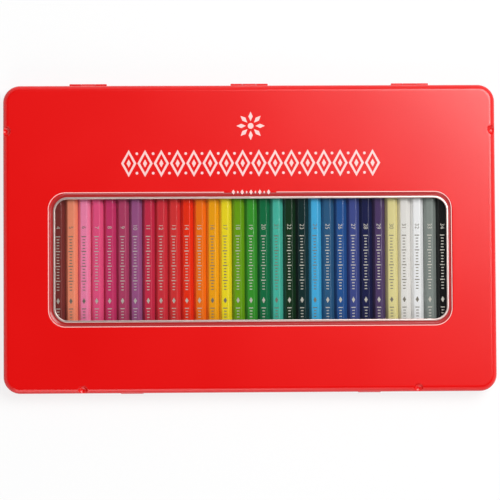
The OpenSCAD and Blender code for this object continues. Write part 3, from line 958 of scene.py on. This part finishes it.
def flat_solid(n, curve, thickness):
    """A closed flat plate filled from a curve and raised by a thickness."""
    filled = n.node("GeometryNodeFillCurve", values={"Curve": curve})
    raised = n.node(
        "GeometryNodeExtrudeMesh", {"mode": "FACES"},
        {"Mesh": filled, "Offset": vector(n, z=1.0), "Offset Scale": thickness, "Individual": False},
    )
    under = n.node("GeometryNodeFlipFaces", values={"Mesh": filled})
    return n.node("GeometryNodeMergeByDistance", values={"Geometry": n.join(raised, under), "Distance": MERGE})


def diamond(n, width, height):
    half = height * 0.5
    values = {"Width": width, "Bottom Height": half, "Top Height": half}
    return n.node("GeometryNodeCurvePrimitiveQuadrilateral", {"mode": "KITE"}, values)


def disc(n, radius, resolution, thickness):
    values = {"Resolution": resolution, "Radius": radius}
    return flat_solid(n, n.node("GeometryNodeCurvePrimitiveCircle", {"mode": "RADIUS"}, values), thickness)


def line_tree():
    """A flat printed stroke along the host's line."""
    tree, n, given = new_tree("Printed Line", "Path Stroke Ink Material")
    curve = n.node("GeometryNodeMeshToCurve", values={"Mesh": given("Path")})
    curve = n.node("GeometryNodeSetCurveNormal", {"mode": "Z_UP"}, {"Curve": curve})
    values = {"Width": given("Stroke"), "Height": given("Ink")}
    section = n.node("GeometryNodeCurvePrimitiveQuadrilateral", {"mode": "RECTANGLE"}, values)
    values = {"Curve": curve, "Profile Curve": section, "Fill Caps": True}
    end_tree(n, coated(n, n.node("GeometryNodeCurveToMesh", values=values), given("Material")))
    return tree


def band_tree():
    """A row of open lozenges, each with a small full one inside, and dots between them."""
    tree, n, given = new_tree("Ornament Band", "Count Pitch Height Ink Place Material")
    count, pitch, height, ink = (given(title) for title in ("Count", "Pitch", "Height", "Ink"))
    ring = n.join(diamond(n, pitch * 0.94, height), diamond(n, pitch * 0.62, height * 0.7))
    heart = diamond(n, pitch * 0.26, height * 0.3)
    motif = n.join(flat_solid(n, ring, ink), flat_solid(n, heart, ink))
    dot = disc(n, pitch * 0.085, 16, ink)
    start = pitch * (count - 1) * -0.5
    parts = [spread(n, line_of(n, count, pitch, vector(n, start)), motif)]
    for side in (-1, 1):
        between = vector(n, start + pitch * 0.5, height * (0.36 * side))
        parts.append(spread(n, line_of(n, count - 1, pitch, between), dot))
    end_print(n, given, n.join(*parts))
    return tree


def row_tree():
    """A short row of full lozenges, large and small by turns, centred on its place."""
    tree, n, given = new_tree("Lozenge Row", "Count Pitch Height Ink Place Material")
    pitch, count = given("Pitch"), given("Count")
    lozenge = flat_solid(n, diamond(n, pitch * 0.8, given("Height")), given("Ink"))
    line = line_of(n, count, pitch, vector(n, pitch * (count - 1) * -0.5))
    share = 1.0 - 0.45 * n.node("GeometryNodeInputIndex").math("MODULO", 2.0)
    end_print(n, given, spread(n, line, lozenge, Scale=vector(n, share, share, 1.0)))
    return tree


def rosette_tree():
    """A plain rosette of lozenge petals round a disc."""
    tree, n, given = new_tree("Rosette", "Petals Radius Ink Place Material")
    count, radius, ink = given("Petals"), given("Radius"), given("Ink")
    reach = radius * 0.66
    petal = moved(n, flat_solid(n, diamond(n, reach, radius * 0.3), ink), Translation=vector(n, reach))
    turn = n.node("GeometryNodeInputIndex") * (2 * math.pi) / count
    petals = spread(n, line_of(n, count, 0.0, vector(n)), petal, Rotation=vector(n, z=turn))
    end_print(n, given, n.join(petals, disc(n, radius * 0.2, 32, ink)))
    return tree


HALF_FLAT = math.pi / 6
AROUND = 60
PER_FLAT = AROUND // 6
PENCIL_ROWS = 13
# The rows past which a pencil's faces are its cone's wood, then its core
WOOD_ROW, LEAD_ROW = 8.2, 9.2
# How far a row lies from an edge that it keeps crisp, in metres
BESIDE = 3e-4
# How far in a row lies on the blunt end, and how far below the top one lies on the point, in metres
END_MARGIN, POINT_DROP = 1e-3, 1e-5
# The share of the point that is flat
POINT_FLAT = 0.6


def pencil_tree():
    """One pencil: rows round a hexagon with rounded edges, from the blunt end to the point, and its foil marks."""
    tree, n, given = new_tree(
        "Pencil", "Length Flats Rounding Core Tip Bevel Cone Turn Place Number Lacquer Wood Lead Foil"
    )
    grid = n.node("GeometryNodeMeshGrid", values={"Vertices X": AROUND + 1, "Vertices Y": PENCIL_ROWS})
    index = n.node("GeometryNodeInputIndex")
    column = (index / PENCIL_ROWS).math("FLOOR")
    row = index - column * PENCIL_ROWS

    flat = (column / PER_FLAT).math("FLOOR")
    t = (column - flat * PER_FLAT) * (2.0 / PER_FLAT) - 1.0
    local = t * (1.5 - 0.5 * t * t) * HALF_FLAT
    apothem, soft = given("Flats") * 0.5, given("Rounding")
    size = local.math("ABSOLUTE")
    hub = (apothem - soft) / math.cos(HALF_FLAT)
    off = HALF_FLAT - size
    aside = hub * off.math("SINE")
    bend = hub * off.math("COSINE") + (soft * soft - aside * aside).math("SQRT")
    limit = ((apothem - soft) * math.tan(HALF_FLAT) / apothem).math("ARCTANGENT")
    bent = size > limit
    hexagon = apothem / size.math("COSINE") * (1.0 - bent) + bend * bent

    whole, tip, core, bevel = given("Length"), given("Tip") * 0.5, given("Core") * 0.5, given("Bevel")
    slope = (given("Cone") * 0.5).math("TANGENT")
    scallop = whole - (hexagon - tip) / slope
    zero = hexagon * 0.0
    rows = [
        (zero, zero), (hexagon - END_MARGIN, zero), (hexagon - bevel, zero), (hexagon - bevel * 0.3, bevel * 0.3),
        (hexagon, bevel), (hexagon, bevel + BESIDE), (hexagon, whole * 0.5), (hexagon, scallop - BESIDE),
        (hexagon, scallop), (core, whole - (core - tip) / slope),
        (tip, whole - POINT_DROP), (tip * POINT_FLAT, whole), (zero, whole),
    ]
    radius, along = (
        n.node(
            "GeometryNodeIndexSwitch", {"data_type": "FLOAT", "items": PENCIL_ROWS},
            {"Index": row, **{i + 1: values[part] for i, values in enumerate(rows)}},
        )
        for part in (0, 1)
    )
    angle = flat * (math.pi / 3) + local - given("Turn")
    point = vector(n, radius * angle.math("COSINE"), along, radius * angle.math("SINE"))
    marked = n.node(
        "GeometryNodeStoreNamedAttribute", {"data_type": "FLOAT", "domain": "POINT"},
        {"Geometry": grid, "Name": "row", "Value": row},
    )
    body = n.node("GeometryNodeSetPosition", values={"Geometry": marked, "Position": point})
    level = n.node("GeometryNodeInputNamedAttribute", {"data_type": "FLOAT"}, {"Name": "row"})
    body = coated(n, body, given("Lacquer"))
    for start, material in ((WOOD_ROW, "Wood"), (LEAD_ROW, "Lead")):
        body = coated(n, body, given(material), Selection=level > start)
    body = n.node("GeometryNodeMergeByDistance", values={"Geometry": body, "Distance": 2 * MERGE})
    body = n.node("GeometryNodeFlipFaces", values={"Mesh": body})

    marks = coated(n, foil_marks(n, given("Number")), given("Foil"))
    marks = moved(n, marks, Rotation=(0.0, 0.0, -math.pi / 2))
    marks = moved(n, marks, Translation=vector(n, z=apothem))
    marks = moved(n, marks, Rotation=vector(n, y=(HALF_FLAT - given("Turn")) * -1.0))
    placed = moved(n, realized(n, n.join(body, marks)), Translation=given("Place"))
    n.node("NodeGroupOutput", values={"Geometry": placed})
    return tree


# The foil marks: how far they are sunk and how thick they are in metres, then their places and sizes in millimetres
MARK_LIFT, MARK_THICK = -4e-6, 1.6e-5
PENCIL_MIDDLE = 87.5
NUMBER_PLACE, NUMBER_HEIGHT = 7.0, 3.5
LOZENGE_PLACE, LOZENGE_LENGTH, LOZENGE_WIDTH = -36.4, 3.6, 2.0
TICK_PITCH, TICK_WIDTH, SHORT_TICK = 1.75, 0.55, 1.5
# Points round each line of a numeral
NUMERAL_POINTS = 22
# Each scale's start, its number of ticks and the length of every fifth one
SCALES = ((1.6, 19, 2.7), (-41.0, 5, 2.5))


def foil_marks(n, number):
    """Plain marks on the reading axis, X: a number, a scale, a lozenge and a short scale."""

    def mark_place(y, lift=0.0):
        """Where a place in the row of pencils lies on the reading axis, which runs down the pencil, in metres."""
        return -(y + PENCIL_MIDDLE) * MM, 0, MARK_LIFT + lift

    def ticks(start, count, longest):
        line = line_of(n, count, TICK_PITCH * MM, mark_place(start, MARK_THICK / 2))
        fifth = n.node("GeometryNodeInputIndex").math("MODULO", 5.0) < 0.5
        share = SHORT_TICK / longest
        bar = n.node("GeometryNodeMeshCube", values={"Size": (TICK_WIDTH * MM, longest * MM, MARK_THICK)})
        return spread(n, line, bar, Scale=vector(n, 1.0, share + fifth * (1 - share), 1.0))

    def plate(curve, y):
        return moved(n, flat_solid(n, curve, MARK_THICK), Translation=mark_place(y))

    text = n.node("FunctionNodeValueToString", {"data_type": "INT"}, {"Value": number})
    middle = {"align_x": "CENTER", "align_y": "MIDDLE"}
    curves = n.node("GeometryNodeStringToCurves", middle, {"String": text, "Size": NUMBER_HEIGHT * MM})
    curves = n.node("GeometryNodeResampleCurve", values={"Curve": realized(n, curves), "Count": NUMERAL_POINTS})
    lozenge = diamond(n, LOZENGE_LENGTH * MM, LOZENGE_WIDTH * MM)
    long_scale, short_scale = (ticks(*scale) for scale in SCALES)
    return n.join(long_scale, plate(curves, NUMBER_PLACE), plate(lozenge, LOZENGE_PLACE), short_scale)


# ---------- Operators ----------


def settings_of(context):
    return context.scene.pencil_tin


class PENCILTIN_OT_base(bpy.types.Operator):
    """Make the base pan with its neck, curled rim, floor bead and hinge knuckles"""

    bl_idname = "pencil_tin.base"
    bl_label = "Base Pan"

    def execute(self, context):
        settings = settings_of(context)
        materials = [coat(settings, key) for key in ("enamel", "tin")]
        piece = new_piece("tin_base", base_skin(millimetres(settings.tin)), materials)
        place_piece(piece, "base", ["base_pan"])
        return {"FINISHED"}


class PENCILTIN_OT_lid(bpy.types.Operator):
    """Make the lid with its window hem, dimples, snap bulges and hinge knuckles"""

    bl_idname = "pencil_tin.lid"
    bl_label = "Lid"

    def execute(self, context):
        settings = settings_of(context)
        # The step's colour is painted shade in the recess round the hem
        materials = [coat(settings, key) for key in ("enamel", "tin", "hem", "step")]
        piece = new_piece("tin_lid", lid_skin(millimetres(settings.tin)), materials)
        place_piece(piece, "lid", ["lid_shell"])
        return {"FINISHED"}


class PENCILTIN_OT_window(bpy.types.Operator):
    """Make the clear pane and the tape that holds it"""

    bl_idname = "pencil_tin.window"
    bl_label = "Window"

    def execute(self, context):
        tape = coat(settings_of(context), "tape")
        smooth_copy("window_pane", "clear_window", finish("clear_film", clear_film), "lid")
        smooth_copy("pane_tape", "foam_tape", tape, "lid", TAPE_SLACK)
        return {"FINISHED"}


class PENCILTIN_OT_print(bpy.types.Operator):
    """Print the line round the window and the plain ornament behind it"""

    bl_idname = "pencil_tin.print_ornament"
    bl_label = "Print"

    def execute(self, context):
        settings = settings_of(context)
        s, p = millimetres(settings.tin), millimetres(settings.print_on)
        top = s.case_height - PRINT_SUNK
        line_y = s.window_y + p.line_depth / 2
        prints = (
            ("line", line_tree, line_y, {"Stroke": p.line_thick * MM}, line_path(s, p, top + p.ink / 2)),
            ("band", band_tree, p.band_y, row_inputs(p.band_count, p.band_pitch, p.band_height), ()),
            ("row", row_tree, line_y, row_inputs(p.row_count, p.row_pitch, p.row_height), ()),
            ("rosette", rosette_tree, p.rosette_y, {"Petals": p.petals, "Radius": p.rosette_radius * MM}, ()),
        )
        for name, tree, y, inputs, path in prints:
            place = Vector((s.window_x, y, top)) * MM
            inputs = {**inputs, "Ink": p.ink * MM, "Place": place, "Material": coat(settings, "ink")}
            place_piece(grow("printed_" + name, tree(), inputs, path), "lid")
        return {"FINISHED"}


def row_inputs(count, pitch, height):
    return {"Count": count, "Pitch": pitch * MM, "Height": height * MM}


LINE_CORNER_STEPS = 14


def line_path(s, p, height):
    """The printed line's path: a rounded rectangle, open in the middle of its back side."""
    half_w, half_d, r = p.line_width / 2, p.line_depth / 2, p.line_corner
    path = [(p.line_gap / 2, half_d)]
    for x, y, start in ((1, 1, 90), (1, -1, 0), (-1, -1, -90), (-1, 1, -180)):
        path += [*arc((x * (half_w - r), y * (half_d - r)), r, start, start - 90, LINE_CORNER_STEPS)]
    path.append((-p.line_gap / 2, half_d))
    return [(p.line_x + x, s.window_y + y, height) for x, y in path]


class PENCILTIN_OT_pins(bpy.types.Operator):
    """Make the three hinge pins"""

    bl_idname = "pencil_tin.pins"
    bl_label = "Hinge Pins"

    def execute(self, context):
        steel = coat(settings_of(context), "steel")
        for side in ("left", "centre", "right"):
            smooth_copy("hinge_pin_" + side, "pin_" + side, steel, "base")
        return {"FINISHED"}


class PENCILTIN_OT_tray(bpy.types.Operator):
    """Make the grooved tray"""

    bl_idname = "pencil_tin.tray"
    bl_label = "Tray"

    def execute(self, context):
        plastic = coat(settings_of(context), "tray")
        smooth_copy("pencil_tray", "grooved_tray", plastic, "base")
        return {"FINISHED"}


class PENCILTIN_OT_pencils(bpy.types.Operator):
    """Make all pencils in their grooves"""

    bl_idname = "pencil_tin.pencils"
    bl_label = "Pencils"

    def execute(self, context):
        settings = settings_of(context)
        sizes = settings.pencil
        tree = pencil_tree()
        shared = ("length", "flats", "rounding", "core", "tip", "bevel", "cone")
        inputs = {key.capitalize(): getattr(sizes, key) for key in shared}
        wood, bright, dull = (coat(settings, key) for key in ("cedar", "foil", "dull_foil"))
        for number, node in enumerate(PENCIL_NODES, 1):
            low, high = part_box(node)
            middle = (low + high) / 2
            shade = settings.lacquers[node].shade
            name = shade_name(node)
            inputs |= {
                "Turn": HALF_FLAT - sizes.roll + sizes.roll_spread * math.sin(ROLL_STEP * number),
                "Place": Vector((middle.x, low.y, middle.z)),
                "Number": number,
                "Lacquer": finish("lacquer_" + name, lacquer, shade),
                "Wood": wood,
                "Lead": finish("core_" + name, coloured_core, shade),
                "Foil": dull if brightness(shade) > LIGHT_PENCIL else bright,
            }
            piece = grow("coloured_" + node, tree, inputs)
            sharpen_borders(piece.data)
            place_piece(piece, "base", [node])
        return {"FINISHED"}


def brightness(shade):
    """How bright a linear colour looks."""
    return sum(weight * part for weight, part in zip((0.2126, 0.7152, 0.0722), shade))


def sharpen_borders(mesh):
    """Marks the edges between two materials as sharp."""
    shape = bmesh.new()
    shape.from_mesh(mesh)
    for edge in shape.edges:
        if len({face.material_index for face in edge.link_faces}) > 1:
            edge.smooth = False
    shape.to_mesh(mesh)
    shape.free()


class PENCILTIN_OT_stage(bpy.types.Operator):
    """Set up the camera, the softboxes, the floor and the background"""

    bl_idname = "pencil_tin.stage"
    bl_label = "Stage"

    def execute(self, context):
        stage = settings_of(context).stage
        scene = context.scene
        scene.view_settings.view_transform = "Standard"
        data = bpy.data.cameras.new("Camera")
        data.lens, data.sensor_width = stage.lens, SENSOR
        data.clip_start, data.clip_end = NEAR, FAR
        camera = new_object("Camera", data)
        camera.location = stage.camera_place
        camera.rotation_euler = Euler(stage.camera_turn, "XYZ")
        scene.camera = camera
        self.softbox("Softbox", SOFTBOX_PLACE, stage.softbox)
        self.softbox("Fill", FILL_PLACE, stage.fill)
        self.floor()
        self.background(scene, stage)
        return {"FINISHED"}

    @staticmethod
    def softbox(name, place, power):
        """A square area light that faces the tin."""
        data = bpy.data.lights.new(name, "AREA")
        data.shape, data.size, data.energy = "SQUARE", SOFTBOX_SIDE, power
        light = new_object(name, data)
        light.location = place
        light.rotation_euler = (-Vector(place)).to_track_quat("-Z", "Y").to_euler()

    @staticmethod
    def floor():
        """A wide pale floor."""
        mesh = bpy.data.meshes.new("floor")
        corners = [(x * FLOOR_REACH, y * FLOOR_REACH, FLOOR_Z) for x, y in ((-1, -1), (1, -1), (1, 1), (-1, 1))]
        mesh.from_pydata(corners, [], [(0, 1, 2, 3)])
        mesh.materials.append(finish("pale_floor", pale_floor))
        new_object("floor", mesh)

    @staticmethod
    def background(scene, stage):
        """White to the camera, and to all else bright low down and dim overhead, where the lid mirrors it."""
        scene.world = bpy.data.worlds.new("Background")
        scene.world.use_nodes = True
        n = Nodes(scene.world.node_tree)
        rays = n.node("ShaderNodeLightPath", out="Is Camera Ray")
        way = n.node("ShaderNodeTexCoord", out="Generated")
        up = n.node("ShaderNodeSeparateXYZ", values={0: way}, out="Z")
        low = n.node("ShaderNodeMapRange", values={"Value": up, 1: LOW_END, 2: HIGH_START, 3: 1.0, 4: 0.0})
        ambient = stage.overhead + low * (stage.ambient - stage.overhead)
        mirrored = stage.overhead + low * (1.0 - stage.overhead)
        unseen = ambient + rays.other("Is Glossy Ray") * (mirrored - ambient)
        seen = rays.math("MAXIMUM", rays.other("Is Transmission Ray"))
        strength = seen + (1.0 - seen) * unseen
        back = n.node("ShaderNodeBackground", values={"Color": WHITE, "Strength": strength})
        n.node("ShaderNodeOutputWorld", values={"Surface": back})


MAKERS = (
    PENCILTIN_OT_stage,
    PENCILTIN_OT_base,
    PENCILTIN_OT_lid,
    PENCILTIN_OT_window,
    PENCILTIN_OT_print,
    PENCILTIN_OT_pins,
    PENCILTIN_OT_tray,
    PENCILTIN_OT_pencils,
)


class PENCILTIN_PT_sidebar(bpy.types.Panel):
    """The pencil tin's pieces and settings"""

    bl_idname = "PENCILTIN_PT_sidebar"
    bl_label = "Pencil Tin"
    bl_space_type = "VIEW_3D"
    bl_region_type = "UI"
    bl_category = "Pencil Tin"

    def draw(self, context):
        settings = settings_of(context)
        for maker in MAKERS:
            self.layout.operator(maker.bl_idname)
        for group in (settings.tin, settings.pencil, settings.print_on, settings.finish, settings.stage):
            column = self.layout.column(align=True)
            for key in group.__annotations__:
                column.prop(group, key)
        for entry in settings.lacquers:
            self.layout.prop(entry, "shade", text=entry.name)


GROUPS = (TinSizes, PencilSizes, PrintSizes, Finishes, Stage, Lacquer, TinSettings)


def register():
    for kind in (*GROUPS, *MAKERS, PENCILTIN_PT_sidebar):
        bpy.utils.register_class(kind)
    bpy.types.Scene.pencil_tin = bpy.props.PointerProperty(
        type=TinSettings, name="Pencil tin", description="Settings of the pencil tin"
    )


def unregister():
    del bpy.types.Scene.pencil_tin
    for kind in reversed((*GROUPS, *MAKERS, PENCILTIN_PT_sidebar)):
        bpy.utils.unregister_class(kind)


def fill_lacquers(settings):
    """One lacquer for each pencil, from its slot's colour, which is the one seen in the case's shade and sheen."""
    settings.lacquers.clear()
    for node in PENCIL_NODES:
        entry = settings.lacquers.add()
        entry.name = node
        seen = linear(SLOT_COLOURS["lacquer_" + shade_name(node)])
        entry.shade = [min(max(LACQUER_GAIN * c - SHEEN, LEAST_SHADE), MOST_SHADE) for c in seen]


def main():
    register()
    fill_lacquers(settings_of(bpy.context))
    for maker in MAKERS:
        group, name = maker.bl_idname.split(".")
        getattr(getattr(bpy.ops, group), name)()


if __name__ == "__main__":
    main()
